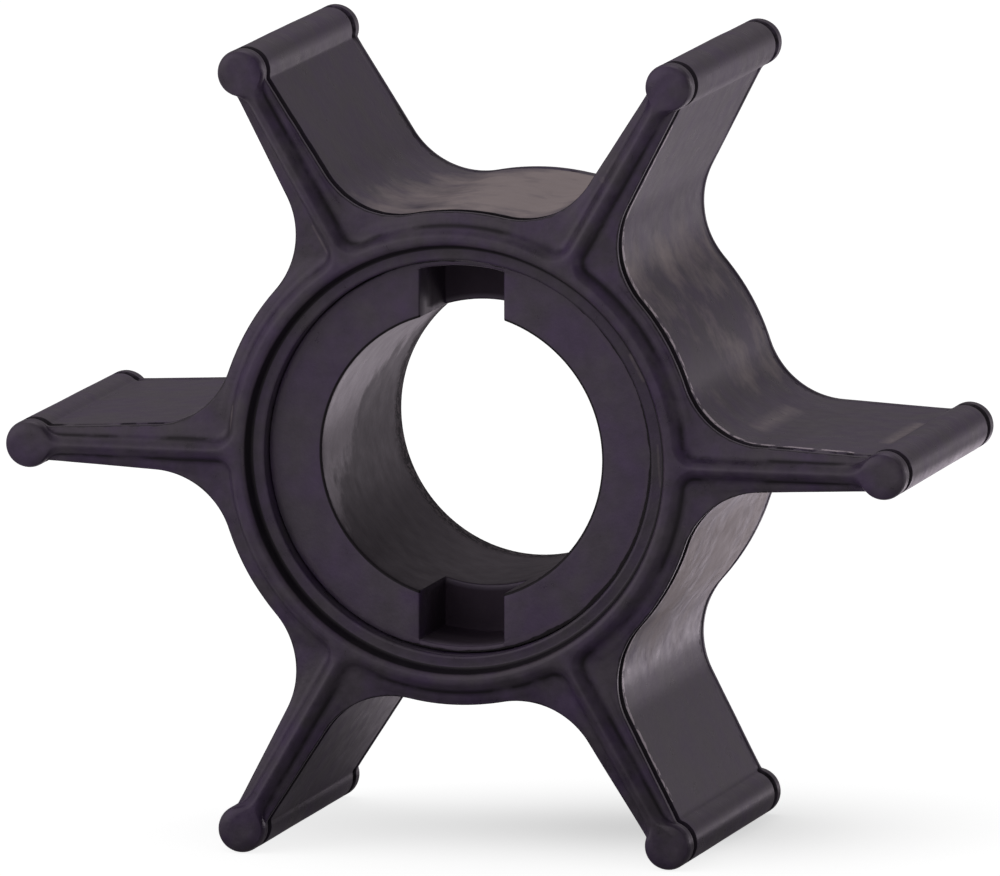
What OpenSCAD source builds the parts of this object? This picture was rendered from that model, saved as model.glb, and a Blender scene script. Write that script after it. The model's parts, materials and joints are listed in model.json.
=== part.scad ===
// Vane impeller of a water pump: a moulded rubber rotor body and the hard bush bonded
// in its hub. Both are drawn with their axis along Z and the slotted end up, and then
// stood up, so that the axis lies along Y and the slotted end looks towards -Y.

/* [Overall] */
// Diameter over the tip beads of opposite vanes
overall_d = 53.8; // [50:0.1:60]
// Height over the raised relief of both end faces
overall_h = 22; // [20:0.1:30]
// Number of vanes
vane_count = 6; // [5:1:8]

/* [Vanes] */
// Thickness of a vane where it leaves the hub circle
vane_root_t = 3; // [2.4:0.1:3.6]
// Thickness of a vane at the centre of its tip bead
vane_tip_t = 1.9; // [1.4:0.1:2.4]
// Diameter of the round bead along the tip of a vane
tip_bead_d = 2.8; // [2.6:0.1:3.6]
// Radius of the fillet between a vane and the hub
root_fillet_r = 4.9; // [3.5:0.1:5.5]

/* [Hub] */
// Outer diameter of the hub between the vanes
hub_d = 28.8; // [27.8:0.1:31]

/* [Relief of the end faces] */
// Height of the ring and the ribs above the face of the vanes
relief_h = 0.7; // [0.4:0.05:1]
// Inner diameter of the ring at its crest
ring_inner_d = 24.9; // [24.4:0.05:25.6]
// Depth of the recess inside the ring, from the ring's crest to the rubber's inner ledge
recess_depth = 1; // [0.6:0.05:1.4]
// How much the wall of the recess closes in, from the crest down to the ledge
recess_draft = 0.1; // [0:0.05:0.3]
// Outer diameter of the ring
ring_outer_d = 27; // [26.2:0.05:27.2]
// Width of a rib
rib_w = 1; // [0.6:0.05:1.2]
// Radius of the corner between a rib and the ring
rib_ring_corner_r = 0.9; // [0.5:0.05:1.2]
// Radius of the flare where a rib runs into its tip bead
rib_bead_flare_r = 1.4; // [1:0.1:1.5]

/* [Bush] */
// Outer diameter of the bush, which the rubber is bonded to
bush_d = 23; // [22.8:0.1:23.8]
// Length of the bush, whose ends lie deeper than the ledges of the rubber
bush_l = 18; // [16:0.1:19]
// Diameter of the shaft bore
bore_d = 16.7; // [14:0.1:18]
// Size of the chamfer at both ends of the bore
bore_chamfer = 0.2; // [0.1:0.05:0.5]
// Width of the two drive slots
slot_w = 5; // [3:0.1:7]
// Depth of the drive slots from the front end of the bush
slot_depth = 5.8; // [3:0.1:12]
// Diameter over the closed outer ends of the two drive slots
slot_end_d = 22.2; // [20:0.1:22.4]

/* [Hidden] */

$fn = 96;
// How far a cutting shape runs past the face that it opens
past = 1;
// A fillet runs out this far under the two faces that it joins, so no hairline is left
run_under = 0.0005;

hub_r = hub_d / 2;
bead_r = tip_bead_d / 2;
tip_r = overall_d / 2 - bead_r;
face_h = overall_h - 2 * relief_h;
ring_inner_r = ring_inner_d / 2;
ring_outer_r = ring_outer_d / 2;

// A vane's side is the line y = side_start + side_slope * x on its own radius.
side_slope = (vane_tip_t - vane_root_t) / 2 / (tip_r - hub_r);
side_start = vane_root_t / 2 - side_slope * hub_r;

function side_y(x) = side_start + side_slope * x;

// Centre of a fillet of radius f that touches the circle of radius r about the origin
// from outside, and the line y = a + b * x from above.
function fillet_centre(r, f, a, b) =
    let (n = sqrt(1 + b * b),
         c = a + f * n,
         x = (-b * c + sqrt((n * (r + f)) ^ 2 - c * c)) / (n * n))
    [x, c + b * x];

root_centre = fillet_centre(hub_r, root_fillet_r, side_start, side_slope);
corner_centre = fillet_centre(ring_outer_r, rib_ring_corner_r, rib_w / 2, 0);
// Measured from the centre of the tip bead towards the hub.
flare_centre = fillet_centre(bead_r, rib_bead_flare_r, rib_w / 2, 0);

module each_vane() {
    for (k = [0 : vane_count - 1]) rotate(k * 360 / vane_count) children();
}

module both_sides() {
    children();
    mirror([0, 1, 0]) children();
}

// What is left of the triangle between a circle about the origin and the line of a
// side, once the fillet circle that touches both has been taken from it.
module corner_fill(centre, fillet_r, touch) {
    difference() {
        polygon([[0, 0], [touch[0], 0], touch, centre]);
        translate(centre) circle(r = fillet_r + run_under);
    }
}

// Cross-section through the hub and the vanes.
module rotor_outline() {
    touch = root_centre + root_fillet_r / sqrt(1 + side_slope ^ 2) * [side_slope, -1];
    circle(r = hub_r);
    each_vane() {
        polygon([[0, side_start], [tip_r, side_y(tip_r)],
                 [tip_r, -side_y(tip_r)], [0, -side_start]]);
        both_sides() corner_fill(root_centre, root_fillet_r, touch);
    }
}

// Cross-section through what stands the full height: the ring, the ribs and the beads.
module relief_outline() {
    circle(r = ring_outer_r);
    each_vane() {
        translate([0, -rib_w / 2]) square([tip_r, rib_w]);
        translate([tip_r, 0]) circle(r = bead_r);
        both_sides() {
            corner_fill(corner_centre, rib_ring_corner_r, [corner_centre[0], rib_w / 2]);
            translate([tip_r, 0]) mirror([1, 0])
                corner_fill(flare_centre, rib_bead_flare_r, [flare_centre[0], rib_w / 2]);
        }
    }
}

// The recess inside the ring, down to the rubber's ledge, and narrower there.
module end_recess() {
    slope = recess_draft / recess_depth;
    translate([0, 0, overall_h / 2 - recess_depth])
        cylinder(r1 = ring_inner_r - recess_draft, r2 = ring_inner_r + past * slope,
                 h = recess_depth + past);
}

module both_ends() {
    children();
    mirror([0, 0, 1]) children();
}

module stand_up() {
    rotate([90, 0, 0]) children();
}

// The moulded rubber: hub, vanes, tip beads and the relief of both faces in one piece.
module rotor_body() {
    color("#37323a") stand_up() difference() {
        union() {
            linear_extrude(face_h, center = true) rotor_outline();
            linear_extrude(overall_h, center = true) relief_outline();
        }
        cylinder(d = bush_d, h = overall_h + 2 * past, center = true);
        both_ends() end_recess();
    }
}

// The hard bush: a plain sleeve with two blind drive slots at its front end.
module hub_bush() {
    color("#3a353d") stand_up() difference() {
        cylinder(d = bush_d, h = bush_l, center = true);
        cylinder(d = bore_d, h = bush_l + 2 * past, center = true);
        both_ends() translate([0, 0, bush_l / 2 - bore_chamfer])
            cylinder(d1 = bore_d, d2 = bore_d + 2 * (bore_chamfer + past),
                     h = bore_chamfer + past);
        translate([0, 0, bush_l / 2 - slot_depth]) intersection() {
            translate([-slot_w / 2, -slot_end_d, 0])
                cube([slot_w, 2 * slot_end_d, slot_depth + past]);
            cylinder(d = slot_end_d, h = slot_depth + past);
        }
    }
}

rotor_body();
hub_bush();
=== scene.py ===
# %% [markdown]
# # A water-pump impeller in moulded rubber
# The real thing is one rubber rotor with six vanes, moulded round a hard bush. Its exact
# sizes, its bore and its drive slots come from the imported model. What the lesson adds is
# everything that a mould and a press leave behind: rounded edges, sloping relief, a thin
# parting groove, and a dark surface that is never quite even.

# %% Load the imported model
import json
import math

import bmesh
import bpy
import numpy as np
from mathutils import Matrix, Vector


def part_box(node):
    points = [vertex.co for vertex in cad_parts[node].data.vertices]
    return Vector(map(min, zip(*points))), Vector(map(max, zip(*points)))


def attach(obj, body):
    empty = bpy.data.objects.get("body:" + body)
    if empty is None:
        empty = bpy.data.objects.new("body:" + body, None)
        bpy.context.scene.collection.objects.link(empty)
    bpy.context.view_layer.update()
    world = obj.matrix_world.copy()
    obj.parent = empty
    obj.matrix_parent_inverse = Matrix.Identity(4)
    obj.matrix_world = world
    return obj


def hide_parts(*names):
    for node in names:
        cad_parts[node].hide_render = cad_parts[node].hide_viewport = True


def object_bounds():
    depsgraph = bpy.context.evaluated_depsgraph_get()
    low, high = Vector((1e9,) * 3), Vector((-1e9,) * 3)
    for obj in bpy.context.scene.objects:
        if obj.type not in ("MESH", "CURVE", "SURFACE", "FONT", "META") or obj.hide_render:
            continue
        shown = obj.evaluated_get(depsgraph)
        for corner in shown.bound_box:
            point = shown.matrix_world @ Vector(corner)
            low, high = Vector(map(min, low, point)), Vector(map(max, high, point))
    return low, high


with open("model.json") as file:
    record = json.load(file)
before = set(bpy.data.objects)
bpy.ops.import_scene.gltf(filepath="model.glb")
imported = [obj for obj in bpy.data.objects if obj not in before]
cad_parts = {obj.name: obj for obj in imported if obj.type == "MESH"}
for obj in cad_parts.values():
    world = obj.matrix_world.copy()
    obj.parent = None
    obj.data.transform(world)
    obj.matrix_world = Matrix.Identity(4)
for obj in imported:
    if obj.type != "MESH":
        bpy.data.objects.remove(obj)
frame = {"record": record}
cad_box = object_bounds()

MM = 0.001
scene = bpy.context.scene

# %% [markdown]
# ## Sizes
# The outer sizes are read from the model, so the dressed part can't drift away from it.
# The rest are the sizes of the moulding itself, in millimetres: how thick a vane is, how
# wide the raised ring and ribs are, how far each fillet reaches.

# %% Sizes from the model, in millimetres
rotor_reach = np.array(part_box("rotor_body")[1]) / MM
bush_reach = np.array(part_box("hub_bush")[1]) / MM
mount_dims = {m["name"]: m["dims"] for m in frame["record"]["mounts"]}

half_height = rotor_reach[1]
bead_r = 1.4
tip_r = rotor_reach[0] - bead_r
bush_r = bush_reach[0]
bush_half = bush_reach[1]
bore_r = mount_dims["shaft_bore"]["r_mm"]
print(f"tip beads at {tip_r:.2f}, bush {bush_r:.2f} by {2 * bush_half:.2f}, bore {bore_r:.2f} mm")

# %% Sizes of the moulding, in millimetres
relief_h = 0.7
face_y = half_height - relief_h
hub_r = 14.4
root_fillet_r = 4.9
vane_root_half = 1.5
vane_tip_half = 0.95
ring_outer_r = 13.5
ring_inner_r = 12.45
recess_depth = 1.0
ledge_r = 12.35
rib_half = 0.5
rib_ring_corner_r = 0.9
rib_bead_flare_r = 1.4
bead_corner_r = 0.3
side_slope = (vane_tip_half - vane_root_half) / (tip_r - hub_r)
side_start = vane_root_half - side_slope * hub_r
print(f"vane side: {side_start:.3f} {side_slope:+.4f} x")

# %% [markdown]
# ## Outlines made of arcs and lines
# Seen from the front, the rotor repeats itself twelve times: half a vane and half a pocket,
# and its mirror image. So only one half sector is drawn. Three curves cross it side by
# side: the outline of the rotor, the edge of the raised relief, and the middle of what the
# relief covers. Each is a chain of arcs and lines, and each has the same number of points,
# so that the surface can be stretched from curve to curve as one grid.


# %% Arcs and lines with their outward normals
def arc(centre, radius, start, end, steps, hollow=False):
    """Points centre + radius * (cos a, sin a), with a running evenly from start to end in
    degrees. The normal points away from the centre, or towards it where hollow."""
    a = np.radians(np.linspace(start, end, steps + 1))
    out = np.column_stack([np.cos(a), np.sin(a)])
    return np.array(centre) + radius * out, -out if hollow else out


def line(start, end, steps):
    """Points that run evenly from start to end. The normal is the direction of travel
    turned a quarter turn to the left."""
    start, end = np.array(start, float), np.array(end, float)
    t = np.linspace(0, 1, steps + 1)[:, None]
    along = (end - start) / np.linalg.norm(end - start)
    return start + t * (end - start), np.tile([-along[1], along[0]], (steps + 1, 1))


def chain(*stretches):
    """Joins stretches end to end. Where two meet, the later one's first point is kept."""
    parts = [tuple(a[:-1] for a in s) for s in stretches[:-1]] + [stretches[-1]]
    return tuple(np.vstack([p[i] for p in parts]) for i in (0, 1))


def fillet_centre(r, f, a, b):
    """Centre of a fillet of radius f that touches the circle of radius r about the origin
    from outside and the line y = a + b * x from above."""
    n = math.sqrt(1 + b * b)
    c = a + f * n
    x = (-b * c + math.sqrt((n * (r + f)) ** 2 - c * c)) / (n * n)
    return np.array([x, c + b * x])


def heading(vector):
    """The angle of a vector in degrees."""
    return math.degrees(math.atan2(vector[1], vector[0]))


# %% Where the arcs touch
root_c = fillet_centre(hub_r, root_fillet_r, side_start, side_slope)
corner_c = fillet_centre(ring_outer_r, rib_ring_corner_r, rib_half, 0)
flare_c = fillet_centre(bead_r, rib_bead_flare_r, rib_half, 0) * [-1, 1] + [tip_r, 0]
notch_c = (fillet_centre(bead_r, bead_corner_r, side_start + side_slope * tip_r, -side_slope)
           * [-1, 1] + [tip_r, 0])
bead_c = np.array([tip_r, 0])

hub_end = heading(root_c)
diagonal = heading(root_c - corner_c) - 180
square_on = heading([side_slope, -1])
ring_end = heading(corner_c)
root_from = heading(root_c) - 180
flare_end = heading(bead_c - flare_c)
notch_end = heading(bead_c - notch_c)
print(f"root fillet about {root_c.round(2)}, hub arc ends at {hub_end:.1f} degrees")

# %% The three curves of a half sector
STEPS = {"pocket": 8, "ring": 10, "corner": 4, "turn": 7, "run": 14, "blade": 20,
         "flare": 5, "notch": 3, "bead": 20}
# The angle where the root fillet has turned past the relief's inner corner.
turn_end = -124.0
# Radius of the ring's middle line, and where the rib's takes over.
middle_r, rib_start = 12.85, 14.0
# Where a vane's side ends, just short of the bead's notch.
blade_end = 23.44
# Where the last stretch of the middle begins and ends, inside the bead.
bead_run = (tip_r - 0.75, tip_r + 0.6)


def on_side(x):
    """The point of the vane's side line at x."""
    return [x, side_start + side_slope * x]


off_side = np.array([side_slope, -1]) / math.hypot(side_slope, 1)
side_touch = root_c + root_fillet_r * off_side
notch_touch = notch_c + bead_corner_r * off_side
heel = STEPS["ring"] + STEPS["corner"]
outline = chain(
    arc((0, 0), hub_r, 30, hub_end, STEPS["pocket"]),
    arc(root_c, root_fillet_r, root_from, diagonal, heel, hollow=True),
    arc(root_c, root_fillet_r, diagonal, turn_end, STEPS["turn"], hollow=True),
    arc(root_c, root_fillet_r, turn_end, square_on, STEPS["run"], hollow=True),
    line(side_touch, on_side(blade_end), STEPS["blade"]),
    line(on_side(blade_end), notch_touch, STEPS["flare"]),
    arc(notch_c, bead_corner_r, square_on, notch_end, STEPS["notch"], hollow=True),
    arc(bead_c, bead_r, notch_end + 180, 0, STEPS["bead"]),
)
flare_steps = STEPS["flare"] + STEPS["notch"]
edge = chain(
    arc((0, 0), ring_outer_r, 30, hub_end, STEPS["pocket"]),
    arc((0, 0), ring_outer_r, hub_end, ring_end, STEPS["ring"]),
    arc(corner_c, rib_ring_corner_r, ring_end - 180, diagonal, STEPS["corner"], hollow=True),
    arc(corner_c, rib_ring_corner_r, diagonal, -90, STEPS["turn"], hollow=True),
    line([corner_c[0], rib_half], [side_touch[0], rib_half], STEPS["run"]),
    line([side_touch[0], rib_half], [flare_c[0], rib_half], STEPS["blade"]),
    arc(flare_c, rib_bead_flare_r, -90, flare_end, flare_steps, hollow=True),
    arc(bead_c, bead_r, flare_end + 180, 0, STEPS["bead"]),
)
middle = chain(
    arc((0, 0), middle_r, 30, hub_end, STEPS["pocket"]),
    arc((0, 0), middle_r, hub_end, 0, heel),
    line([middle_r, 0], [rib_start, 0], STEPS["turn"]),
    line([rib_start, 0], [side_touch[0], 0], STEPS["run"]),
    line([side_touch[0], 0], [flare_c[0], 0], STEPS["blade"]),
    line([flare_c[0], 0], [bead_run[0], 0], flare_steps),
    line([bead_run[0], 0], [bead_run[1], 0], STEPS["bead"]),
)
on_ring = STEPS["pocket"] + heel
print("points along each curve:", len(outline[0]), len(edge[0]), len(middle[0]))

# %% [markdown]
# ## From the crest over the side to the other face
# Cut the rotor across and the section tells how the mould was made. The crest is flat and
# its edge is round, the flank slopes so that the part leaves the mould, and a soft foot
# runs into the face. Round the outline the edge is soft too, and about 1.5 mm behind the
# crest a parting groove runs right round the rotor, where the end plates of the mould
# close on its middle. It is uneven, because the rubber has filled it more here and less
# there. Each row of the grid is one step along that section.

# %% Section of the relief, the outline's edge and the side
# Distance outwards from the relief's edge, and height over the face of the vanes.
FLANK = np.array([(-0.42, 0.69), (-0.36, 0.67), (-0.29, 0.63), (-0.21, 0.57), (-0.13, 0.49),
                  (-0.06, 0.40), (0.01, 0.30), (0.08, 0.20), (0.17, 0.11), (0.28, 0.05),
                  (0.44, 0.015), (0.68, 0.0)])
# How much the face falls from the flank's foot to the outline, for each mm of the gap
# between relief and outline, up to a widest gap.
LAND_SLOPE, LAND_WIDEST = 0.075, 1.2
# Distance inwards from the outline, and depth below the face of the vanes.
ROUNDING = np.array([(0.15, 0.0), (0.07, 0.015), (0.02, 0.06), (0.0, 0.15)])
# Distance from the middle of the height, and distance outwards from the outline.
LIPS = np.array([(10.08, 0.0), (9.98, 0.0), (9.9, -0.01), (9.87, -0.1), (9.84, -0.24),
                 (9.76, -0.3), (9.54, -0.32), (9.32, -0.3), (9.24, -0.24), (9.21, -0.1),
                 (9.18, -0.01), (9.1, 0.0), (8.9, 0.0), (8.4, 0.0)])
GROOVE_Y = 9.54
SIDE_ROWS = 7
crest_rows = np.array([0.0, 0.5])
face_rows = np.array([0.33, 0.67])
print(f"flank {len(FLANK)} rows, groove {-LIPS[:, 1].min():.2f} mm deep, "
      f"{half_height - GROOVE_Y:.2f} mm behind the crest")


# %% One half sector as a grid
FAR_FROM_GROOVE = 3.0
# Gaps between relief and outline, in millimetres, under which the crest's edge gets
# sharper, rows step down to stay apart, and the dirt and painted shade at the relief's foot fade.
SHARP_GAP, STEP_GAP, DIRT_AND_SHADE_GAP = 0.3, 0.1, 0.5
LEAST_SOFT = 0.35
ROW_STEP = 0.02
# Where the dirt and painted shade at the relief's foot are thickest, outwards from the edge, and their
# reach.
DIRT_AND_SHADE_AT, DIRT_AND_SHADE_REACH = 0.15, 0.13


def at_height(points, height=0.0):
    """Points (x, y) as points (x, y, height)."""
    return np.column_stack([points, np.broadcast_to(height, len(points))])


def half_front(share, wander):
    """The front half of a half sector, as rows of points (x, y, height over the middle).
    The rows go from the middle curve over the crest, which falls by sag * t^2, down the
    flank, over the face, which falls by LAND_SLOPE * gap * t, to the outline, and along the
    side to where the groove ends. Where the outline comes close to the relief, the crest's
    edge keeps LEAST_SOFT of its softness, and the rest shrinks to the upright wall of the
    tip bead. share is how much of the groove's depth is cut at each point of the outline,
    and wander how far the groove lies from its even line. Also returns each point's distance
    from the groove along the skin, positive in front, and how deep it lies in the corner at
    the relief's foot, from 0 to 1."""
    gap = np.clip(((outline[0] - edge[0]) * edge[1]).sum(1), 0, None)
    room = np.clip(gap, 0, 1)[:, None]
    softness = LEAST_SOFT + (1 - LEAST_SOFT) * np.clip(gap / SHARP_GAP, 0, 1)[:, None]
    step_down = np.clip(1 - gap / STEP_GAP, 0, 1) * ROW_STEP
    rows, away, corner = [], [], []

    def add(points, height, foot=0.0):
        corner.append(foot * np.clip(gap / DIRT_AND_SHADE_GAP, 0, 1))
        inset = np.linalg.norm(outline[0] - points, axis=1)
        rows.append(at_height(points, height))
        away.append(np.clip(rows[-1][:, 2] - GROOVE_Y - wander + inset, None, FAR_FROM_GROOVE))

    crest_edge = edge[0] + FLANK[0, 0] * softness * edge[1]
    sag = half_height - face_y - FLANK[0, 1]
    for t in crest_rows:
        add((1 - t) * middle[0] + t * crest_edge, half_height - sag * t * t)
    for s, h in FLANK:
        # How much dirt and painted shade lies in the corner at this row of the flank.
        dirt_and_shade = math.exp(-((s - DIRT_AND_SHADE_AT) / DIRT_AND_SHADE_REACH) ** 2)
        add(edge[0] + s * (room if s > 0 else softness) * edge[1], face_y + h, dirt_and_shade)
    foot = edge[0] + FLANK[-1, 0] * room * edge[1]
    brim = outline[0] - ROUNDING[0, 0] * room * outline[1]
    fall = LAND_SLOPE * np.clip(gap, 0, LAND_WIDEST)
    for k, t in enumerate(face_rows):
        add((1 - t) * foot + t * brim, face_y - step_down * (k + 1) - fall * t)
    for inset, down in ROUNDING:
        add(outline[0] - inset * room * outline[1],
            face_y - down - step_down * 3 - fall * (1 - down / ROUNDING[-1, 1]))
    for k, (y, out) in enumerate(LIPS):
        cut = out * share if out < 0 else 0 * share
        moved = y + wander * (0 < k < len(LIPS) - 1)
        rows.append(at_height(outline[0] + cut[:, None] * outline[1], moved))
        away.append(moved - GROOVE_Y - wander)
        corner.append(0 * gap)
    return np.array(rows), np.array(away), np.array(corner)


def half_sector(front_groove, back_groove):
    """The front rows, plain rows along the side, and the rows of the back upside down. Each
    groove is given as (share, wander)."""
    front, front_away, front_corner = half_front(*front_groove)
    rear, rear_away, rear_corner = half_front(*back_groove)
    last = LIPS[-1, 0]
    side = np.repeat(front[-1:], SIDE_ROWS, axis=0)
    side[:, :, 2] = np.linspace(last, -last, SIDE_ROWS + 2)[1:-1, None]
    grid = np.concatenate([front, side, rear[::-1] * [1, 1, -1]])
    away = np.concatenate([front_away, np.abs(side[:, :, 2]) - GROOVE_Y, rear_away[::-1]])
    return grid, away, np.concatenate([front_corner, 0 * side[:, :, 2], rear_corner[::-1]])


# %% [markdown]
# ## The inside of the ring
# Inside the crest the surface drops to a ledge, runs level to a rounded lip, and falls
# again to the end of the bush, which lies deeper. Then it follows the bush through to the
# other face. It is the same all round, so it is a profile turned about the axis, at the
# same angles as the middle curve, and the two grids close.

# %% Profile inside the ring, in radius and height
seam_r = bush_r + 0.01
ledge_y = half_height - recess_depth
inside_front = np.array([
    (middle_r, half_height), (ring_inner_r + 0.32, half_height - 0.005),
    (ring_inner_r + 0.2, half_height - 0.035), (ring_inner_r + 0.1, half_height - 0.1),
    (ring_inner_r + 0.02, half_height - 0.22), (ring_inner_r - 0.04, half_height - 0.5),
    (ledge_r, ledge_y + 0.2), (ledge_r - 0.03, ledge_y + 0.08),
    (ledge_r - 0.1, ledge_y), (ledge_r - 0.22, ledge_y - 0.03),
    (seam_r + 0.22, ledge_y + 0.03), (seam_r + 0.1, ledge_y + 0.02),
    (seam_r + 0.03, ledge_y - 0.03), (seam_r, ledge_y - 0.13), (seam_r, bush_half + 0.3),
    (seam_r, bush_half - 0.2), (seam_r, bush_half - 1.0), (seam_r, bush_half - 4.5)])
inside = np.vstack([inside_front, [(seam_r, 0.0)], inside_front[::-1] * [1, -1]])
ring_angles = np.arctan2(middle[0][:on_ring + 1, 1], middle[0][:on_ring + 1, 0])


def turned(profile, angles):
    """Each point (r, h) of the profile at each angle a: (r cos a, r sin a, h)."""
    r, h = profile[:, 0, None], profile[:, 1, None]
    return np.stack([r * np.cos(angles), r * np.sin(angles), h + 0 * angles], 2)


inner_sector = turned(inside, ring_angles)
print("inner grid:", inner_sector.shape[:2])


# %% [markdown]
# ## Twelve half sectors, one skin
# Every other half sector is a mirror image, so its faces are listed the other way round.
# Once all twelve are in one mesh, points that coincide are merged and the skin is closed.
# Rubber is never truly flat, so a soft noise then draws each point in along its normal by
# a few hundredths of a millimetre. It only draws in, so the part keeps its outer size.


# %% Smooth noise in space
SEEDS = {"skin": 7, "groove share": 21, "groove line": 22, "groove breaks": 23, "ripple": 24}


def smooth_noise(points, scale, seed):
    """Value noise: random numbers on a cubic lattice with cells of the given size, blended
    between the eight corners round each point with weights 3 t^2 - 2 t^3. From -1 to 1."""
    table = np.random.default_rng(seed).uniform(-1, 1, (32, 32, 32))
    p = points / scale + 1000.5
    cell = np.floor(p).astype(int)
    t = p - cell
    t = t * t * (3 - 2 * t)
    total = np.zeros(len(points))
    for corner in np.ndindex(2, 2, 2):
        index = (cell + corner) % 32
        weight = np.prod(np.where(corner, t, 1 - t), axis=1)
        total += weight * table[index[:, 0], index[:, 1], index[:, 2]]
    return total


def grid_faces(rows, columns, flip):
    """Quads between neighbours of a grid that is numbered row by row."""
    first = (np.arange(rows - 1)[:, None] * columns + np.arange(columns - 1)).ravel()
    quads = np.column_stack([first, first + 1, first + columns + 1, first + columns])
    return quads[:, ::-1] if flip else quads


# %% Twelve places about the shaft
def in_place(points, k, side):
    """Points (x, y, height) of a half sector, mirrored where side is -1 and turned by k
    sixths of a turn, as points of the rotor: the height is laid towards -Y."""
    a = math.radians(60 * k)
    x, y = points[..., 0], side * points[..., 1]
    across, up = math.cos(a) * x - math.sin(a) * y, math.sin(a) * x + math.cos(a) * y
    return np.stack([across, -points[..., 2], up], -1)


def smooth_step(low, high, x):
    """0 below low, 1 above high, and 3 t^2 - 2 t^3 in between."""
    t = np.clip((x - low) / (high - low), 0, 1)
    return t * t * (3 - 2 * t)


# Where filled stretches of the groove set in: out along an upright vane, and to the left.
FILLED_OUT, FILLED_LEFT = (16.0, 19.0), (11.0, 13.0)


def groove_at(k, side, height):
    """How open the groove is along the outline, and how far it wanders, by up to about
    0.1 mm. In front it is open all round, and partly filled along a vane that faces straight
    up and on what faces up at the far left. At the back only the beads show it. Slow noises
    make both uneven."""
    at = in_place(at_height(outline[0], height), k, side)
    facing_up = in_place(at_height(outline[1]), k, side)[:, 2]
    on_bead = smooth_step(tip_r - 1.2, tip_r - 0.9, outline[0][:, 0])
    if height > 0:
        straight_up = smooth_step(0.9, 1.0, facing_up) * smooth_step(*FILLED_OUT, outline[0][:, 0])
        far_left = smooth_step(*FILLED_LEFT, -at[:, 0]) * (facing_up > 0)
        filled = np.maximum(straight_up, far_left) * (1 - on_bead)
        share = 1.0 - filled * (0.5 - 0.55 * smooth_noise(at, 0.7, SEEDS["groove breaks"]))
    else:
        share = 0.2 + 0.75 * on_bead
    share = np.clip(share + 0.15 * smooth_noise(at, 2.5, SEEDS["groove share"]), 0.05, 1.05)
    wander = 0.07 * smooth_noise(at, 1.6, SEEDS["groove line"]) - 0.03
    wander = wander + 0.04 * smooth_noise(at, 0.5, SEEDS["ripple"])
    return share, wander * (1 - 0.7 * on_bead)


# How strong the bloom and its painted light are, by the angle round the shaft in degrees,
# from +X towards +Z.
BLOOM_AND_LIGHT_ANGLES = [30, 78, 104, 150, 270, 330, 390]
BLOOM_AND_LIGHT_STRENGTHS = [0.3, 0.92, 0.6, 0.35, 0.3, 0.82, 0.3]


def hub_marks(points):
    """Marks the six pockets by the radius and by the angle from the pocket's middle, each
    with its own strength, and the pale bloom in them, dust and painted light on the hub's top
    and lower right, which lies only behind the groove."""
    r = np.hypot(points[..., 0], points[..., 2])
    a = np.degrees(np.arctan2(points[..., 2], points[..., 0])) % 360
    pocket = (1 - smooth_step(15.6, 18.0, r)) * (1 - smooth_step(17, 27, np.abs((a % 60) - 30)))
    pocket *= smooth_step(13.9, 14.2, r) * np.interp(a, BLOOM_AND_LIGHT_ANGLES, BLOOM_AND_LIGHT_STRENGTHS)
    return pocket, pocket * (1 - smooth_step(9.0, 9.25, np.abs(points[..., 1])))


rotor_points, rotor_quads = [], []
rotor_marks = {"groove_away": [], "groove_share": [], "corner": []}
count = 0
for k in range(6):
    for side in (1, -1):
        front_groove, back_groove = (groove_at(k, side, y) for y in (GROOVE_Y, -GROOVE_Y))
        grid, away, corner = half_sector(front_groove, back_groove)
        front_half = grid[:, :, 2] > 0
        shares = np.where(front_half, front_groove[0], back_groove[0])
        for part, turned_over in ((grid, side < 0), (inner_sector, side > 0)):
            rotor_quads.append(grid_faces(*part.shape[:2], turned_over) + count)
            rotor_points.append(in_place(part, k, side).reshape(-1, 3))
            count += len(rotor_points[-1])
        # The dirt and painted shade at the relief's foot stay on slopes that face right, away from the
        # light, and fade on those that face left.
        facing_left = -in_place(at_height(edge[1]), k, side)[:, 0]
        corner = corner * (1 - smooth_step(0.2, 0.7, facing_left))
        marks = {"groove_away": (away, FAR_FROM_GROOVE), "groove_share": (shares, 0.0),
                 "corner": (corner, 0.0)}
        for key, (values, beyond) in marks.items():
            rotor_marks[key] += [values.ravel(), np.full(inner_sector[..., 0].size, beyond)]
print("grid of a half sector:", grid.shape[:2], "points before merging:", count)


# %% Build the rotor's mesh
MERGE_DISTANCE = 2e-7


def draw_in(mesh, waves):
    """Moves each point along its normal by the sum over the waves of
    depth * (noise - 1) / 2, which lies between -depth and 0. A wave is (size, depth)."""
    points, normals = np.empty((2, len(mesh.vertices) * 3))
    mesh.vertices.foreach_get("co", points)
    mesh.vertex_normals.foreach_get("vector", normals)
    points, normals = points.reshape(-1, 3) / MM, normals.reshape(-1, 3)
    shift = sum(depth * (smooth_noise(points, size, SEEDS["skin"] + k) - 1) / 2
                for k, (size, depth) in enumerate(waves))
    mesh.vertices.foreach_set("co", ((points + shift[:, None] * normals) * MM).ravel())
    mesh.update()
    return shift


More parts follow.
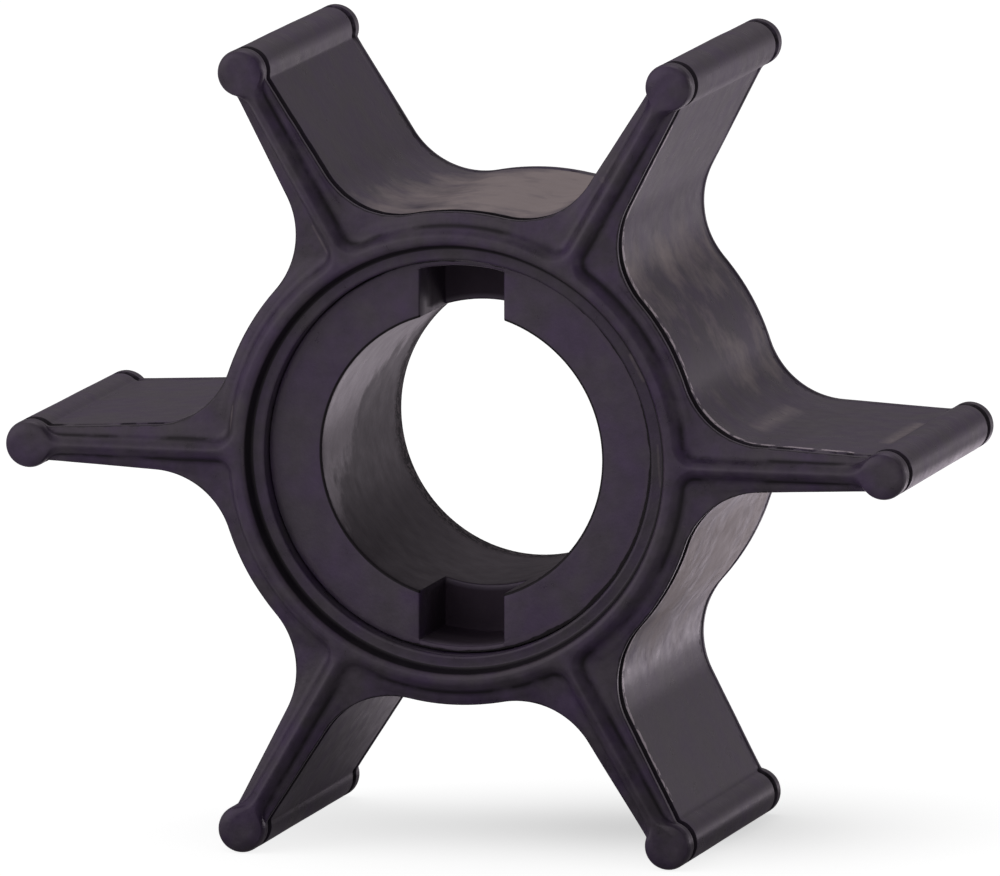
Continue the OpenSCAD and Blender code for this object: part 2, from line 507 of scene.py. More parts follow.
def new_piece(name, points, quads, waves, attributes):
    """A mesh object from points in millimetres and quads, with its doubles merged, smooth
    shaded, turned outwards and drawn in. attributes are named numbers, one for each point."""
    mesh = bpy.data.meshes.new(name)
    mesh.from_pydata((points * MM).tolist(), [], quads.tolist())
    for key, values in attributes.items():
        mesh.attributes.new(key, "FLOAT", "POINT").data.foreach_set("value", values)
    bm = bmesh.new()
    bm.from_mesh(mesh)
    bmesh.ops.remove_doubles(bm, verts=bm.verts, dist=MERGE_DISTANCE)
    if bm.calc_volume(signed=True) < 0:
        bmesh.ops.reverse_faces(bm, faces=bm.faces)
    open_edges = sum(not e.is_manifold for e in bm.edges)
    volume = bm.calc_volume(signed=True) / MM ** 3
    bm.to_mesh(mesh)
    bm.free()
    mesh.shade_smooth()
    shift = draw_in(mesh, waves)
    piece = bpy.data.objects.new(name, mesh)
    scene.collection.objects.link(piece)
    print(f"{name}: {len(mesh.vertices)} points, {len(mesh.polygons)} faces, {open_edges} open edges, "
          f"{volume:.1f} mm3, drawn in by up to {-shift.min():.3f} mm")
    return piece


rotor_marks = {key: np.concatenate(values) for key, values in rotor_marks.items()}
rotor_points = np.vstack(rotor_points)
rotor_marks["pocket"], rotor_marks["bloom_and_light"] = hub_marks(rotor_points)
rotor = new_piece("moulded_rotor", rotor_points, np.vstack(rotor_quads),
                  [(5.0, 0.03), (1.3, 0.012)], rotor_marks)

# %% [markdown]
# ## The bush
# The bush is a sleeve, moulded or pressed from a harder plastic, with two blind slots in
# its front end. A sleeve is a closed loop of profile turned about the axis. The slots have
# parallel sides, so the columns of the grid are pulled to stand parallel there, and the
# front end is simply pushed down where the slots are.

# %% Sizes of the bush, in millimetres
slot_half = 2.5
slot_depth = 5.8
slot_end_r = 11.1

# %% Columns that stand parallel at a slot
# Distance from a slot's wall into the solid, and how much of the slot's depth is cut there.
WALL = np.array([(-0.12, 1.0), (-0.05, 0.997), (-0.015, 0.98), (-0.006, 0.75), (0.0, 0.5),
                 (0.006, 0.25), (0.015, 0.02), (0.05, 0.004), (0.12, 0.0)])
PLAIN_COLUMNS = 30
floor_x = np.linspace(0, slot_half + WALL[0, 0], 7)[:-1]
slot_x = np.concatenate([floor_x, slot_half + WALL[:, 0]])
column_cut = np.concatenate([np.ones(len(floor_x)), WALL[:, 1], np.zeros(PLAIN_COLUMNS)])


def quarter_angles(radius):
    """The angle from the slot's middle at which each column of a quarter turn stands, on a
    circle of that radius: asin(x / radius) for the columns that stand parallel, then even
    steps up to the quarter turn."""
    parallel = np.arcsin(slot_x / radius)
    rest = parallel[-1] + (math.pi / 2 - parallel[-1]) * np.linspace(0, 1, PLAIN_COLUMNS + 1)[1:]
    return np.concatenate([parallel, rest])


print("columns of a quarter turn:", len(column_cut))


# %% Rows that go round the section of the sleeve
FLOOR_ROWS, BORE_ROWS = 5, 18
back_radii = (9.3, 10.4)


def bush_quarter():
    """Rows round the section of the sleeve: up its outer wall, over the front end, down
    the bore, over the back end. On the front end a row lies at bush_half less the cut,
    slot_depth * column_cut * row_cut. In the bore each column starts at its own top and
    is divided evenly down to the back."""
    outer = bush_r - 0.01
    rim = np.array([(0.0, 0.05), (0.006, 0.02), (0.02, 0.006), (0.05, 0.0)])
    lip = np.array([(0.15, 0.0), (0.07, 0.012), (0.02, 0.06), (0.0, 0.16)])
    rows = [(outer, 0.0)] + [(outer - inset, bush_half - drop) for inset, drop in rim]
    for away, cut in WALL[::-1]:
        rows.append((slot_end_r + away, bush_half - slot_depth * column_cut * cut))
    top = bush_half - slot_depth * column_cut
    for radius in np.linspace(slot_end_r - 0.6, bore_r + 0.4, FLOOR_ROWS):
        rows.append((radius, top))
    rows += [(bore_r + inset, top - drop) for inset, drop in lip]
    wall_top = top - lip[-1, 1]
    for t in np.linspace(0, 1, BORE_ROWS)[1:]:
        rows.append((bore_r, wall_top + (-bush_half + lip[-1, 1] - wall_top) * t))
    rows += [(bore_r + inset, drop - bush_half) for inset, drop in lip[-2::-1]]
    rows += [(r, -bush_half) for r in back_radii]
    rows += [(outer - inset, drop - bush_half) for inset, drop in rim[::-1]]
    grid = []
    for radius, height in rows + rows[:1]:
        a = quarter_angles(radius)
        depth = np.broadcast_to(-height, len(a))
        grid.append(np.column_stack([radius * np.sin(a), depth, radius * np.cos(a)]))
    return np.array(grid)


# %% Four quarters make the bush
quarter = bush_quarter()
bush_points, bush_quads = [], []
for k, (sx, sz) in enumerate([(1, 1), (-1, 1), (-1, -1), (1, -1)]):
    bush_points.append(quarter.reshape(-1, 3) * [sx, 1, sz])
    bush_quads.append(grid_faces(*quarter.shape[:2], sx * sz < 0) + k * quarter[..., 0].size)
bush_points = np.vstack(bush_points)
off_axis = np.hypot(bush_points[:, 0], bush_points[:, 2])
below = bush_points[:, 1] + bush_half
in_slot = smooth_step(0.05, 0.5, below) * (below < slot_depth + 0.1)
in_slot *= np.abs(bush_points[:, 0]) < slot_half + 0.004
in_slot *= (off_axis > bore_r + 0.25) & (off_axis < slot_end_r + 0.01)
bush = new_piece("slotted_bush", bush_points, np.vstack(bush_quads), [(4.0, 0.012)],
                 {"in_slot": in_slot})

# %% [markdown]
# ## Finishes
# Rubber moulded in one pour isn't one colour: it is a little warmer here and bluer there,
# and where a hand or a shelf has rubbed it the shine changes. The same effects serve both
# materials, so each is a node group that is built once and placed with its own values.


# %% Short ways to build node trees
def node_group(name, inputs, outputs):
    """An empty shader node group with named number or colour sockets. Returns the group,
    its input node and its output node."""
    group = bpy.data.node_groups.new(name, "ShaderNodeTree")
    for direction, sockets in (("INPUT", inputs), ("OUTPUT", outputs)):
        for socket_name, kind in sockets.items():
            group.interface.new_socket(socket_name, in_out=direction, socket_type="NodeSocket" + kind)
    return group, group.nodes.new("NodeGroupInput"), group.nodes.new("NodeGroupOutput")


def add_node(tree, kind, settings=None, **inputs):
    """A node with its settings, and with its inputs set to values or linked to sockets. An
    input goes by its name on the node, or as i0, i1 and so on by its place there."""
    node = tree.nodes.new(kind)
    for key, value in (settings or {}).items():
        setattr(node, key, value)
    for key, value in inputs.items():
        by_place = key[0] == "i" and key[1:].isdigit()
        socket = node.inputs[int(key[1:]) if by_place else key.replace("_", " ")]
        if isinstance(value, bpy.types.NodeSocket):
            tree.links.new(value, socket)
        else:
            socket.default_value = value
    return node


def calc(tree, operation, a, b=0.0, c=0.0, clamp=False):
    """One step of arithmetic on numbers or sockets."""
    settings = {"operation": operation, "use_clamp": clamp}
    return add_node(tree, "ShaderNodeMath", settings, i0=a, i1=b, i2=c).outputs[0]


def vector_calc(tree, operation, output="Vector", **inputs):
    """One step of arithmetic on places and directions."""
    return add_node(tree, "ShaderNodeVectorMath", {"operation": operation}, **inputs).outputs[output]


def product(tree, first, *others, clamp=False):
    """first times all the others. With clamp the result is held between 0 and 1."""
    for k, other in enumerate(others, 1):
        first = calc(tree, "MULTIPLY", first, other, clamp=clamp and k == len(others))
    return first


def shifted(tree, value, noise, amount):
    """value + (noise - 0.5) * amount."""
    return calc(tree, "MULTIPLY_ADD", calc(tree, "SUBTRACT", noise, 0.5), amount, value)


def ramp(tree, value, low, high, start=0.0, end=1.0):
    """From start, where the value is low or less, evenly to end, where it is high or more."""
    return add_node(tree, "ShaderNodeMapRange", i0=value, i1=low, i2=high, i3=start, i4=end).outputs[0]


def toward(tree, mask, value, other):
    """Mixes a colour towards another by a mask."""
    a, b = (c if isinstance(c, bpy.types.NodeSocket) else (*c, 1) for c in (value, other))
    return add_node(tree, "ShaderNodeMix", {"data_type": "RGBA"}, i0=mask, i6=a, i7=b).outputs[2]


def placed(tree, group, **inputs):
    """The outputs of a node group that is placed with its own values."""
    return add_node(tree, "ShaderNodeGroup", {"node_tree": group}, **inputs).outputs


def finish_group(group, out, **results):
    """Links the results to the group's outputs of those names."""
    for name, socket in results.items():
        group.links.new(socket, out.inputs[name])
    print(f"group {group.name}: {len(group.nodes)} nodes")
    return group


def place_on_piece(tree):
    """The place on the piece, in metres."""
    return add_node(tree, "ShaderNodeTexCoord").outputs["Object"]


def noise_in(tree, place, frequency, detail, roughness):
    """Noise in space, from 0 to 1, with about that many patches in a metre."""
    return add_node(tree, "ShaderNodeTexNoise", {"noise_dimensions": "3D"}, Vector=place,
                    Scale=frequency, Detail=detail, Roughness=roughness).outputs["Fac"]


# %% Uneven colour
def make_uneven_colour():
    """Two noises. The slow one slides the colour from a base to a tint, the quicker one
    makes it lighter or darker by 1 + (noise - 0.5) * spread."""
    group, given, out = node_group("uneven_colour", {
        "Base": "Color", "Tint": "Color", "Patch Size": "Float", "Lightness Spread": "Float"},
        {"Color": "Color", "Mask": "Float"})
    place = place_on_piece(group)
    frequency = calc(group, "DIVIDE", 1.0, given.outputs["Patch Size"])
    patches = ramp(group, noise_in(group, place, frequency, 3.0, 0.55), 0.38, 0.62)
    tinted = toward(group, patches, given.outputs["Base"], given.outputs["Tint"])
    quick = noise_in(group, place, calc(group, "MULTIPLY", frequency, 2.3), 5.0, 0.6)
    spread = shifted(group, 1.0, quick, given.outputs["Lightness Spread"])
    colour = vector_calc(group, "SCALE", i0=tinted, Scale=spread)
    return finish_group(group, out, Color=colour, Mask=quick)


uneven_colour = make_uneven_colour()


# %% Moulded grain
def make_moulded_grain():
    """A fine noise and one twelve times as coarse, mixed, as a height between 0 and 1."""
    group, given, out = node_group("moulded_grain", {"Grain Size": "Float", "Wave Share": "Float"},
                                   {"Height": "Float"})
    place = place_on_piece(group)
    frequency = calc(group, "DIVIDE", 1.0, given.outputs["Grain Size"])
    fine = noise_in(group, place, frequency, 2.0, 0.5)
    coarse = noise_in(group, place, calc(group, "MULTIPLY", frequency, 0.08), 2.0, 0.5)
    summed = add_node(group, "ShaderNodeMix", {"data_type": "FLOAT"}, i0=given.outputs["Wave Share"],
                      i2=fine, i3=coarse)
    return finish_group(group, out, Height=summed.outputs[0])


moulded_grain = make_moulded_grain()


# %% Soft masks
def make_soft_band():
    """1 where a value lies between two limits, falling off over a given width: the product
    of (value - from) / softness + 0.5 and (to - value) / softness + 0.5, each clamped."""
    group, given, out = node_group("soft_band", {
        "Value": "Float", "From": "Float", "To": "Float", "Softness": "Float"}, {"Mask": "Float"})
    value, softness = given.outputs["Value"], given.outputs["Softness"]
    sides = []
    for high, low in ((value, given.outputs["From"]), (given.outputs["To"], value)):
        scaled = calc(group, "DIVIDE", calc(group, "SUBTRACT", high, low), softness)
        sides.append(calc(group, "ADD", scaled, 0.5, clamp=True))
    return finish_group(group, out, Mask=product(group, *sides))


soft_band = make_soft_band()


# %% Scuffs, and a painted highlight
def make_scuff_and_highlight():
    """1 along a straight stroke between two places, falling to 0 over a given width:
    1 - |p - a - t (b - a)| / width, where t is the nearest point's share of the way."""
    group, given, out = node_group("scuff_and_highlight", {
        "Place": "Vector", "Start": "Vector", "End": "Vector", "Width": "Float"}, {"Mask": "Float"})
    way, offset = (vector_calc(group, "SUBTRACT", i0=given.outputs[head], i1=given.outputs["Start"])
                   for head in ("End", "Place"))
    dots = [vector_calc(group, "DOT_PRODUCT", "Value", i0=way, i1=other) for other in (offset, way)]
    share = calc(group, "DIVIDE", *dots, clamp=True)
    nearest = vector_calc(group, "SCALE", i0=way, Scale=share)
    apart = vector_calc(group, "DISTANCE", "Value", i0=offset, i1=nearest)
    reach = calc(group, "DIVIDE", apart, given.outputs["Width"])
    return finish_group(group, out, Mask=calc(group, "SUBTRACT", 1.0, reach, clamp=True))


scuff_and_highlight = make_scuff_and_highlight()


# %% Short ways to use them
# A limit that no value here reaches.
OPEN = 1000.0


def attribute(tree, name):
    """The number that each point of the mesh carries under that name."""
    return add_node(tree, "ShaderNodeAttribute", {"attribute_name": name}).outputs["Fac"]


def band(tree, value, low, high, softness, unit=1.0):
    """The soft band group, placed once, with its limits and softness in the given unit."""
    return placed(tree, soft_band, Value=value, From=low * unit, To=high * unit,
                  Softness=softness * unit)["Mask"]


def about_shaft(tree, place):
    """The place across, along and above the shaft's axis, and its distance from it,
    sqrt(x^2 + z^2)."""
    x, y, z = add_node(tree, "ShaderNodeSeparateXYZ", Vector=place).outputs
    return x, y, z, calc(tree, "SQRT", calc(tree, "MULTIPLY_ADD", x, x, calc(tree, "MULTIPLY", z, z)))


def marked(tree, surface, mask, paint, share=1.0, rougher=0.0):
    """A surface, given as (colour, roughness), with a mark on it. Where the mask is 1, its
    colour goes towards the paint by share, and its roughness rises by rougher."""
    colour, roughness = surface
    if rougher > 0:
        roughness = calc(tree, "MULTIPLY_ADD", mask, rougher, roughness, clamp=True)
    return toward(tree, product(tree, mask, share) if share < 1 else mask, colour, paint), roughness


# %% What both materials share
def moulded_material(name, base, tint, patch, spread, rough, grain):
    """A Principled surface with the uneven colour, a roughness that follows the same mask,
    and the moulded grain as bump. Returns the material, its tree, the place on the piece,
    and its (colour, roughness), which are still to be linked."""
    material = bpy.data.materials.new(name)
    material.use_nodes = True
    tree = material.node_tree
    uneven = placed(tree, uneven_colour, Base=(*base, 1), Tint=(*tint, 1), Patch_Size=patch,
                    Lightness_Spread=spread)
    height = placed(tree, moulded_grain, Grain_Size=grain, Wave_Share=0.5)["Height"]
    bump = add_node(tree, "ShaderNodeBump", Strength=0.3, Distance=0.08 * MM, Height=height)
    tree.links.new(bump.outputs[0], tree.nodes["Principled BSDF"].inputs["Normal"])
    surface = uneven["Color"], ramp(tree, uneven["Mask"], 0.3, 0.7, *rough)
    return material, tree, place_on_piece(tree), surface


def finish_material(material, **results):
    """Links the results to the Principled surface's inputs of those names."""
    tree = material.node_tree
    for name, socket in results.items():
        tree.links.new(socket, tree.nodes["Principled BSDF"].inputs[name.replace("_", " ")])
    print(f"{material.name}: {len(tree.nodes)} nodes")
    return material


# %% [markdown]
# ## Rubber with the marks of its age, and painted light and shade
# The rotor is nearly black with a violet cast, and dust, dirt, scuffs and torn skin show
# how it was made and kept. Beside them lie painted light and shade: light on the hub,
# highlights at a vane's root and on the flash, shade in the recess, in the groove and at the
# relief's foot. A painted picture could be wrapped round it, but would be only so fine. Here
# each mark is a mask worked out from the place about the shaft, or from a number that the
# mesh carries, and noise makes it ragged.

# %% Rubber
# The pale colour of the bloom, which is also painted light on the hub, and of the scuffs and a painted
# highlight.
PALE_MARK = (0.44, 0.40, 0.35)
# The near-white of a painted highlight on the mould's flash.
BURR_HIGHLIGHT = (0.85, 0.80, 0.80)
# The lighter colour of wear on the crest's edge, and of painted light in the bore and on the bush's rim.
WEAR_AND_LIGHT = (0.095, 0.08, 0.092)
BLACK = (0.002, 0.0015, 0.002)
# Start and end of each stroke, its width, in millimetres, and its strength: a painted
# highlight along the root of the upper right vane, and scuffs, two on the right vane, three
# nicks on the front face, and two streaks on the ledge.
SCUFFS_AND_HIGHLIGHT = (((10.3, -9.2, 13.96), (10.3, 7.0, 13.96), 0.42, 1.0),
          ((16.6, -4.5, 1.6), (16.6, 3.5, 1.6), 0.8, 0.45),
          ((24.2, -4.0, 1.05), (24.2, 3.5, 1.05), 0.7, 0.5),
          ((-7.7, -10.3, 12.3), (-7.4, -10.3, 11.5), 0.14, 0.6),
          ((-8.5, -10.3, 13.3), (-7.6, -10.3, 11.7), 0.12, 0.35),
          ((-13.3, -10.6, 2.6), (-13.3, -10.6, 0.7), 0.14, 0.5),
          ((10.3, -10.0, 6.4), (11.1, -10.0, 4.9), 0.13, 0.26),
          ((11.95, -10.0, 1.2), (12.1, -10.0, -1.2), 0.1, 0.2))
STROKE_GAIN = 1.8


def make_rubber():
    """The plain rubber with its marks. Bloom is the pale dust that old rubber sweats out, and here also
    painted light on the hub's top and lower right.
    The ledge is darker towards the right and the recess's wall is black, both painted shade,
    and the crest's edge over it is rubbed. Dirt and painted shade lie along the relief's foot.
    A thin dark line of painted shade runs along the outline's edge in front of the groove, which
    is painted black as shade where it is open, and behind it, on the right, the burr of the
    mould's flash shows as a broken white line, a painted highlight."""
    material, tree, place, surface = moulded_material(
        "moulded_rubber", (0.057, 0.051, 0.062), (0.055, 0.038, 0.078), 0.0025, 1.5, (0.26, 0.40), 0.00025)
    x, y, _, radius = about_shaft(tree, place)
    cloud = noise_in(tree, place, 1 / 0.004, 5.0, 0.62)
    quick = noise_in(tree, place, 1 / 0.0005, 2.0, 0.5)

    # Pale dust, and painted light where the hub's top and lower right catch the light.
    dust_and_light = ramp(tree, shifted(tree, attribute(tree, "bloom_and_light"), cloud, 1.6), 0.3, 0.85)
    surface = marked(tree, surface, dust_and_light, PALE_MARK, rougher=0.15)

    front = calc(tree, "LESS_THAN", y, -(ledge_y - 0.3) * MM)
    # Painted shade on the ledge inside the recess, darker towards the right.
    ledge = product(tree, band(tree, radius, 0.0, ledge_r - 0.1, 0.1, MM), front,
                    calc(tree, "MULTIPLY_ADD", x, 12.0, 0.14))
    surface = marked(tree, surface, ledge, BLACK)
    # Painted shade: the recess's wall painted nearly black.
    wall = product(tree, band(tree, radius, ledge_r - 0.15, ring_inner_r + 0.06, 0.06, MM), front)
    surface = marked(tree, surface, wall, BLACK, 0.9, rougher=0.25)
    rubbed = product(tree, band(tree, radius, ring_inner_r + 0.06, ring_inner_r + 0.2, 0.06, MM), front,
                     band(tree, cloud, 0.46, OPEN, 0.12))
    surface = marked(tree, surface, rubbed, WEAR_AND_LIGHT, 0.35)

    # Dirt and painted shade at the relief's foot, left off the slopes that face left.
    dirt_and_shade = product(tree, attribute(tree, "corner"), band(tree, cloud, 0.47, OPEN, 0.1))
    surface = marked(tree, surface, dirt_and_shade, BLACK, 0.9, rougher=0.25)
    # Scuffs in the pale colour, and one painted highlight along the upper right vane's root.
    for start, end, width, strength in SCUFFS_AND_HIGHLIGHT:
        stroke = placed(tree, scuff_and_highlight, Place=place, Start=Vector(start) * MM, End=Vector(end) * MM,
                        Width=width * MM)["Mask"]
        stroke_strength = product(tree, stroke, strength * STROKE_GAIN, quick, clamp=True)
        surface = marked(tree, surface, stroke_strength, PALE_MARK)

    away = shifted(tree, attribute(tree, "groove_away"), quick, 0.25)
    # Painted shade: a thin dark line along the outline's rounded edge, in front of the groove.
    surface = marked(tree, surface, band(tree, away, 0.62, 0.78, 0.08), BLACK, 0.8)
    # Painted highlight: a broken white line behind the groove on the right, for the light caught on the
    # rim of the mould's flash.
    burr_highlight = product(tree, band(tree, away, -0.88, -0.44, 0.12), band(tree, quick, 0.47, OPEN, 0.08),
                   band(tree, x, 7.0, OPEN, 4.0, MM), 0.8, calc(tree, "LESS_THAN", y, 0.0),
                   calc(tree, "LESS_THAN", radius, (tip_r - 1.5 * bead_r) * MM))
    surface = marked(tree, surface, burr_highlight, BURR_HIGHLIGHT)
    # Painted shade: the groove painted black where it is open, a little more in the pockets.
    open_here = shifted(tree, attribute(tree, "groove_share"), quick, 1.6)
    black = product(tree, band(tree, away, -0.43, 0.34, 0.06), band(tree, open_here, 0.5, OPEN, 0.2),
                    calc(tree, "MULTIPLY_ADD", attribute(tree, "pocket"), 0.3, 0.7), clamp=True)
    surface = marked(tree, surface, black, BLACK, rougher=0.6)
    return finish_material(material, Base_Color=surface[0], Roughness=surface[1])


rubber = make_rubber()

# %% [markdown]
# ## Plastic, with painted light and shade
# The bush is harder. Its bore is painted light in front and painted shade deeper in, it is
# darker at the far end, and its slots are painted dark as shade. The same masks serve again:
# radius and depth find the bore and the seams, and only the slots, which aren't round, need a
# number of their own.

# %% Plastic
# The dark of painted shade deeper in the bore.
DEEP = (0.022, 0.015, 0.021)
# Near black, for the bore's far end, the seam and the bore's front edge.
NEAR_BLACK = (0.004, 0.003, 0.004)
SPECK = (0.10, 0.09, 0.09)
# The dark of painted shade in the slots.
SLOT_SHADE = (0.03, 0.02, 0.033)


def make_plastic():
    """The plain plastic with its marks. The bore is painted light in front, up to a slanting
    ragged line, and painted shade beyond it, and it is darker and speckled over its last
    millimetre and a half. The rim is lighter in patches, painted light beside the shaded step.
    The seam round the bush, wider on the right, and the bore's front edge are black, and the
    slots are painted dark as shade."""
    material, tree, place, surface = moulded_material(
        "moulded_plastic", (0.068, 0.060, 0.076), (0.066, 0.046, 0.092), 0.003, 1.1, (0.27, 0.38), 0.0002)
    x, y, z, radius = about_shaft(tree, place)
    cloud = noise_in(tree, place, 1 / 0.003, 5.0, 0.65)
    speck = noise_in(tree, place, 1 / 0.00035, 3.0, 0.6)

    # Painted light on the front of the bore, and painted shade beyond a slanting ragged line.
    bore = calc(tree, "LESS_THAN", radius, (bore_r + 0.03) * MM)
    surface = marked(tree, surface, bore, WEAR_AND_LIGHT)
    slant = shifted(tree, calc(tree, "MULTIPLY_ADD", z, -1.4, y), cloud, 0.014)
    deep = product(tree, band(tree, slant, -2.5, OPEN, 2.5, MM), bore)
    surface = marked(tree, surface, deep, DEEP, rougher=0.18)
    # Darker and speckled over the bore's last millimetre and a half.
    far = product(tree, band(tree, shifted(tree, y, speck, 0.003), bush_half - 1.6, OPEN, 0.6, MM), bore)
    specks = toward(tree, band(tree, speck, 0.52, OPEN, 0.06), NEAR_BLACK, SPECK)
    surface = marked(tree, surface, far, specks, rougher=0.3)

    # Painted light: the bush's rim lighter in patches, beside the shade of the rubber step.
    rim = product(tree, band(tree, radius, bush_r - 0.5, bush_r - 0.14, 0.1, MM),
                  band(tree, cloud, 0.5, OPEN, 0.15))
    surface = marked(tree, surface, rim, WEAR_AND_LIGHT, 0.3)
    front = calc(tree, "LESS_THAN", y, (0.3 - bush_half) * MM)
    ragged = calc(tree, "MULTIPLY_ADD", x, 0.014, shifted(tree, radius, cloud, 0.0005))
    seam = product(tree, band(tree, ragged, bush_r - 0.13, OPEN, 0.05, MM), front)
    lip = product(tree, band(tree, radius, bore_r + 0.02, bore_r + 0.15, 0.04, MM), front)
    surface = marked(tree, surface, calc(tree, "MAXIMUM", seam, lip), NEAR_BLACK, rougher=0.4)
    # Painted shade: the slots painted dark.
    surface = marked(tree, surface, attribute(tree, "in_slot"), SLOT_SHADE, rougher=0.4)
    return finish_material(material, Base_Color=surface[0], Roughness=surface[1])


plastic = make_plastic()
rotor.data.materials.append(rubber)
bush.data.materials.append(plastic)

# %% [markdown]
# ## Tie the pieces to the model
# Each dressed mesh rides on the body of the plain solid and takes its place.

# %% Fix the pieces to the model
for piece, node, slot in ((rotor, "rotor_body", "rotor_rubber"), (bush, "hub_bush", "bush_plastic")):
    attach(piece, "root")
    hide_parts(node)

# %% [markdown]
# ## Floor and light
# The part stands on its two lower vanes on a white sweep. A dark satin surface shows hardly
# more than the lights that it mirrors, so the light decides the look. A wide soft light at
# the front left leaves the slopes that face right dark, a narrow low one behind on the
# right lights the sides at a grazing angle, and the rest of the room is dim. They are
# painted on the sky as smooth lobes, which is softer than any lamp. Only the camera sees
# the sky and the floor as plain white.

# %% Sky of soft lights
LIGHT_TINT = (0.96, 0.85, 0.95)
ROOM_LIGHT = 0.06
# Degrees from +Y towards +X, degrees above the floor, sharpness, strength.
SOFT_LIGHTS = {"front left": (217, 9.6, 5.0, 0.98), "high on the left": (250, 50, 1.76, 0.34),
               "low behind on the right": (35, 1.8, 63, 1.7), "behind on the right": (68, 10, 18.7, 0.36),
               "high behind": (0, 60, 15, 0.84), "low behind": (2, 8, 26, 0.19)}

world = bpy.data.worlds.new("studio")
scene.world = world
world.use_nodes = True
sky = world.node_tree
direction = add_node(sky, "ShaderNodeTexCoord").outputs["Generated"]


def aimed(turn, rise):
    """The unit vector (sin turn cos rise, cos turn cos rise, sin rise)."""
    turn, rise = math.radians(turn), math.radians(rise)
    return (math.sin(turn) * math.cos(rise), math.cos(turn) * math.cos(rise), math.sin(rise))


def lobe(turn, rise, sharpness, strength):
    """strength * exp(sharpness * (cos(angle to the light's middle) - 1))."""
    cosine = vector_calc(sky, "DOT_PRODUCT", "Value", i0=direction, i1=aimed(turn, rise))
    falling = calc(sky, "MULTIPLY_ADD", cosine, sharpness, -sharpness)
    return calc(sky, "MULTIPLY", calc(sky, "EXPONENT", falling), strength)


brightness = ROOM_LIGHT
for light in SOFT_LIGHTS.values():
    brightness = calc(sky, "ADD", lobe(*light), brightness)
lit = vector_calc(sky, "SCALE", i0=LIGHT_TINT, Scale=brightness)
seen = add_node(sky, "ShaderNodeLightPath").outputs["Is Camera Ray"]
sky.links.new(toward(sky, seen, lit, (1, 1, 1)), sky.nodes["Background"].inputs["Color"])
print("soft lights:", ", ".join(SOFT_LIGHTS))

# %% White floor
floor_z = cad_box[0].z
# What the camera sees: white paint, with the light's tint taken out, that also glows, and
# the soft shade between the feet, as spots of (place, radius, depth), in metres.
SEEN_PAINT = [0.55 * min(LIGHT_TINT) / c for c in LIGHT_TINT]
SEEN_GLOW = 0.87
SHADE = (((-0.007, 0.002), 0.007, 0.09), ((0.001, 0.0034), 0.007, 0.05),
         ((0.009, 0.0055), 0.007, 0.24), ((0.019, 0.008), 0.008, 0.05))
# What the part mirrors: dark close by, where it keeps its own light off, and lighter far
# off. Two pools of light lie behind it on the right and the left, and two darker ones by
# the left foot and far behind, where the bore looks. Each is (place, radius, strength).
NEAR_GLOW, FAR_GLOW = 0.09, 0.54
DARK = ((0.012, 0.012), 0.06)
POOLS = (((0.024, 0.066), 0.021, 1.25), ((-0.013, 0.048), 0.014, 0.9),
         ((-0.011, 0.006), 0.012, -0.05), ((0.014, 0.135), 0.04, -0.16))
FLOOR_HALF = 1.5

floor_mesh = bpy.data.meshes.new("floor")
corners = np.array([(-1, -1, 0), (1, -1, 0), (1, 1, 0), (-1, 1, 0)]) * FLOOR_HALF + [0, 0, floor_z]
floor_mesh.from_pydata(corners.tolist(), [], [(0, 1, 2, 3)])
floor = bpy.data.objects.new("floor", floor_mesh)
scene.collection.objects.link(floor)
floor_paint = bpy.data.materials.new("floor_paint")
floor_paint.use_nodes = True
paint = floor_paint.node_tree
for name, value in (("Roughness", 0.9), ("Specular IOR Level", 0.0)):
    paint.nodes["Principled BSDF"].inputs[name].default_value = value
spot = place_on_piece(paint)


def bell(centre, radius):
    """exp(-d^2 / (2 radius^2)), where d is the distance from the centre on the floor."""
    away = vector_calc(paint, "DISTANCE", "Value", i0=spot, i1=(*centre, floor_z))
    share = calc(paint, "DIVIDE", away, radius * math.sqrt(2))
    return calc(paint, "POWER", math.exp(-1), product(paint, share, share))


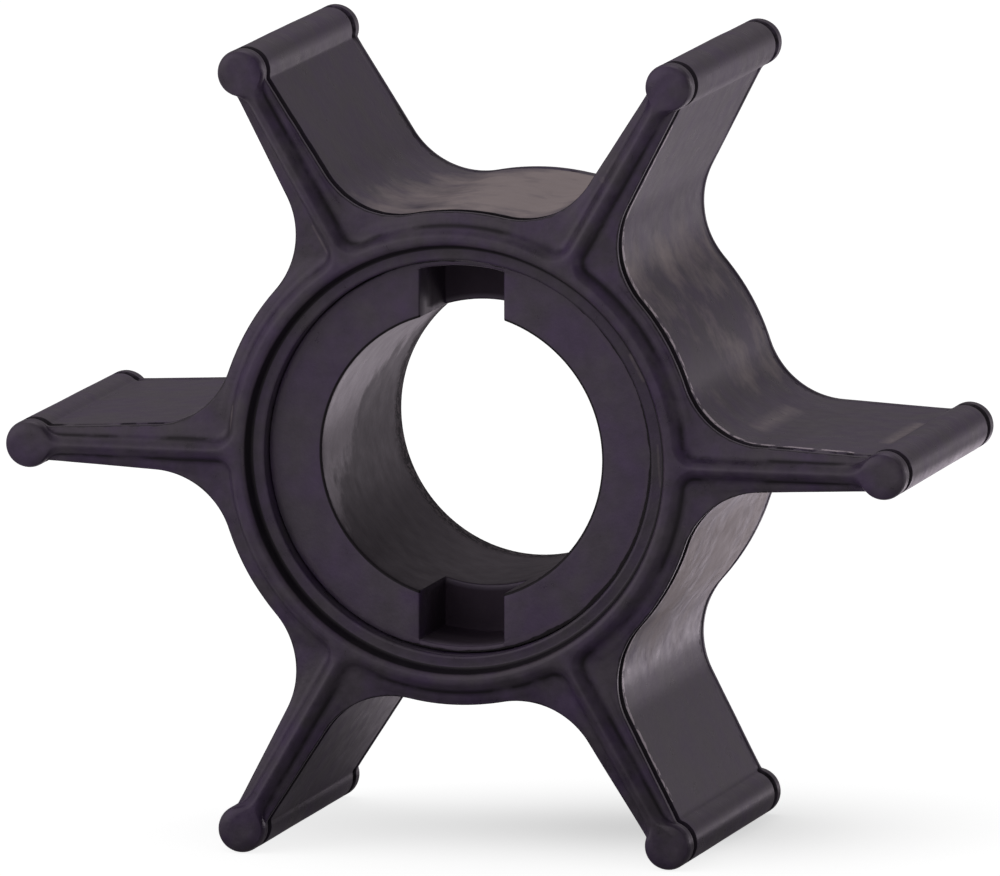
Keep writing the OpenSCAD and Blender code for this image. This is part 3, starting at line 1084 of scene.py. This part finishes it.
glow = calc(paint, "MULTIPLY_ADD", bell(*DARK), NEAR_GLOW - FAR_GLOW, FAR_GLOW)
for centre, radius, strength in POOLS:
    glow = calc(paint, "MULTIPLY_ADD", bell(centre, radius), strength, glow)
shaded = SEEN_GLOW
for centre, radius, depth in SHADE:
    shaded = calc(paint, "MULTIPLY_ADD", bell(centre, radius), -depth, shaded)
seen = add_node(paint, "ShaderNodeLightPath").outputs["Is Camera Ray"]
shown = add_node(paint, "ShaderNodeMix", {"data_type": "FLOAT"}, i0=seen, i2=glow, i3=shaded)
floor.data.materials.append(finish_material(
    floor_paint, Emission_Strength=shown.outputs[0],
    Emission_Color=toward(paint, seen, LIGHT_TINT, (1, 1, 1)),
    Base_Color=toward(paint, seen, (0, 0, 0), SEEN_PAINT)))
print(f"floor at {floor_z / MM:.2f} mm, its glow {NEAR_GLOW} under the part and {FAR_GLOW} far off")

# %% [markdown]
# ## Camera
# The picture was taken from far off, a little from the right and above. Such a camera is
# found by fitting the plain model's outline to the picture.

# %% Camera
AZIMUTH, ELEVATION = 14.7289, 8.3214
DISTANCE = 1507.5
FOCAL_PX = 25946.0
IMAGE_W = 1000
aim_mm = np.array([-0.0011, 0.0, -0.2455])
off_centre_px = (0.95, 0.36)

back = Vector(aimed(180 - AZIMUTH, ELEVATION))
right = Vector((0, 0, 1)).cross(back).normalized()
up = back.cross(right)
mm_per_px = DISTANCE / FOCAL_PX
aim = Vector(aim_mm) - right * off_centre_px[0] * mm_per_px + up * off_centre_px[1] * mm_per_px
camera_data = bpy.data.cameras.new("camera")
camera_data.sensor_width = 36
camera_data.lens = FOCAL_PX / IMAGE_W * camera_data.sensor_width
camera_data.clip_start, camera_data.clip_end = 0.1, 10
camera = bpy.data.objects.new("camera", camera_data)
scene.collection.objects.link(camera)
camera.location = (aim + back * DISTANCE) * MM
camera.rotation_euler = (-back).to_track_quat("-Z", "Y").to_euler()
scene.camera = camera
scene.view_settings.view_transform = "Standard"
print(f"camera {DISTANCE * MM:.2f} m away, lens {camera_data.lens:.0f} mm")
